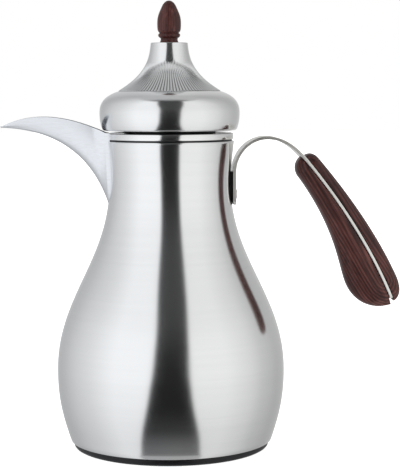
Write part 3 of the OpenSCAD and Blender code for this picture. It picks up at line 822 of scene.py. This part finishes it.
class DALLAH_OT_stage(PieceOperator, bpy.types.Operator):
    """Sets the pale floor, the soft studio light and the camera"""

    bl_idname = "dallah.stage"
    bl_label = "Stage"

    def execute(self, context):
        scene = context.scene
        bm = bmesh.new()
        bmesh.ops.create_circle(bm, cap_ends=True, segments=96, radius=FLOOR_R)
        mesh = bpy.data.meshes.new("Floor")
        bm.to_mesh(mesh)
        bm.free()
        floor = bpy.data.objects.new("Floor", mesh)
        scene.collection.objects.link(floor)
        floor.visible_glossy = False
        material, at = shaded("Pale_Floor")
        cloud = at.noise(3, 2)
        mesh.materials.append(surfaced(
            material, at, Base_Color=cloud.blend((0.86, 0.86, 0.86, 1), (0.9, 0.9, 0.9, 1)),
            Roughness=0.6, Emission_Color=(1, 1, 1, 1), Emission_Strength=0.9))
        self.light(scene)

        cam = bpy.data.cameras.new("Camera")
        cam.sensor_width, cam.lens = SENSOR, LENS
        cam.clip_start, cam.clip_end = 0.05, 20
        camera = bpy.data.objects.new("Camera", cam)
        scene.collection.objects.link(camera)
        aim = (Matrix.Rotation(math.radians(CAMERA_YAW), 4, "Z")
               @ Matrix.Rotation(math.radians(90 - CAMERA_DIP), 4, "X")
               @ Matrix.Rotation(math.radians(CAMERA_ROLL), 4, "Z"))
        camera.matrix_world = Matrix.Translation(CAMERA_AT) @ aim
        scene.camera = camera
        scene.view_settings.view_transform = "Standard"
        return {"FINISHED"}

    def light(self, scene):
        """A light tent close round the pot: bright walls with a dark gap in front."""
        bm = bmesh.new()
        bmesh.ops.create_uvsphere(bm, u_segments=48, v_segments=24, radius=TENT_R)
        bmesh.ops.translate(bm, vec=TENT_MIDDLE, verts=bm.verts)
        mesh = bpy.data.meshes.new("Light_Tent")
        bm.to_mesh(mesh)
        bm.free()
        tent = bpy.data.objects.new("Light_Tent", mesh)
        scene.collection.objects.link(tent)
        tent.visible_camera = False
        material, at = shaded("Tent_Cloth")
        mesh.materials.append(material)
        off = at.node("VectorMath", {"operation": "SUBTRACT"}, {0: at, 1: TENT_MIDDLE})
        way = off.node("VectorMath", {"operation": "NORMALIZE"}, {0: off})
        front = way.part("X") * -0.061 + way.part("Y") * -0.998
        right = way.part("X") * 0.998 + way.part("Y") * -0.061
        turn = right.maths("ARCTAN2", right, front) * 57.296
        level = way.maths("ARCSINE", way.part("Z")) * 57.296
        apart = turn.maths("ABSOLUTE", turn)
        beside = turn.maths("ABSOLUTE", turn - level.ease(-35, 38) * 3.0)
        below, above = 2 - level, level - 15
        below, above = below.maths("MAXIMUM", below, 0.0), above.maths("MAXIMUM", above, 0.0)
        gap = 16.3 + below ** 2 * 0.0068 + above ** 2 * 0.0058
        walls_seen = (beside - gap).ease(-1.8, 1.8)
        # How bright the left and right walls are, by the share of a half turn from the front
        stops = ((0.0, 0.92, 0.835), (0.3, 0.91, 0.815), (0.46, 0.71, 0.67), (0.55, 0.63, 0.54),
                 (0.7, 0.48, 0.43), (0.8, 0.44, 0.44), (0.95, 0.58, 0.6))
        share = apart * (1 / 180)
        left, right = (share.node("ValToRGB", {"stops": [(at_stop, [pair[side]] * 3)
                                                         for at_stop, *pair in stops]},
                                  {"Fac": share}) for side in (0, 1))
        tall = left + (right - left) * turn.ease(-8, 8)
        fall = 1 - (0 - level).ease(2, 60) * 0.21 - level.ease(8, 30) * 0.06
        hollow = (0.014 + level.ease(-5, 38) * 0.035 + (0 - level).ease(24, 46) * 0.025
                  + (0 - level).ease(40, 58) * 0.15
                  + (0 - level).ease(50, 60) * 0.16 + level.ease(70, 86) * 0.33)
        sides = hollow + (tall * fall - hollow) * walls_seen
        edge = apart.ease(25, 80)
        over = 0.15 + edge.maths("MAXIMUM", edge, level.ease(74, 85)) * 0.29
        whole = sides + (over - sides) * (level.ease(66, 71) * walls_seen)
        cloth = turn.ease(-20, 20).blend((0.985, 1.0, 1.015, 1), (0.998, 1.007, 0.994, 1))
        glow = (whole * (1 / 1.2)).blend((0, 0, 0, 1), cloth)
        surfaced(material, at, Base_Color=(0, 0, 0, 1), Roughness=1.0, Specular_IOR_Level=0.0,
                 Emission_Color=glow, Emission_Strength=1.2 / 0.86)

        world = bpy.data.worlds.new("Studio")
        scene.world = world
        world.use_nodes = True
        world.node_tree.nodes.clear()
        start = Value(world.node_tree)
        white = start.node("Background", None, {"Color": (1, 1, 1, 1), "Strength": 1.0})
        start.node("OutputWorld", None, {"Surface": white})


PIECES = (DALLAH_OT_body, DALLAH_OT_collar, DALLAH_OT_spout, DALLAH_OT_lid, DALLAH_OT_finial,
          DALLAH_OT_handle, DALLAH_OT_grip, DALLAH_OT_fittings, DALLAH_OT_stage)


class DALLAH_PT_panel(bpy.types.Panel):
    """Lists the pot's pieces and sizes"""

    bl_idname = "DALLAH_PT_panel"
    bl_label = "Dallah Coffee Pot"
    bl_space_type = "VIEW_3D"
    bl_region_type = "UI"
    bl_category = "Dallah"

    def draw(self, context):
        for piece in PIECES:
            self.layout.operator(piece.bl_idname)
        for group in (context.scene.dallah_sizes, context.scene.dallah_colours):
            box = self.layout.box()
            for name in group.bl_rna.properties.keys():
                if name not in ("rna_type", "name"):
                    box.prop(group, name)


CLASSES = (DallahSizes, DallahColours, *PIECES, DALLAH_PT_panel)


def register():
    for cls in CLASSES:
        bpy.utils.register_class(cls)
    bpy.types.Scene.dallah_sizes = bpy.props.PointerProperty(type=DallahSizes)
    bpy.types.Scene.dallah_colours = bpy.props.PointerProperty(type=DallahColours)


def unregister():
    del bpy.types.Scene.dallah_sizes, bpy.types.Scene.dallah_colours
    for cls in reversed(CLASSES):
        bpy.utils.unregister_class(cls)


def main():
    register()
    for piece in PIECES:
        group, name = piece.bl_idname.split(".")
        getattr(getattr(bpy.ops, group), name)()


if __name__ == "__main__":
    main()
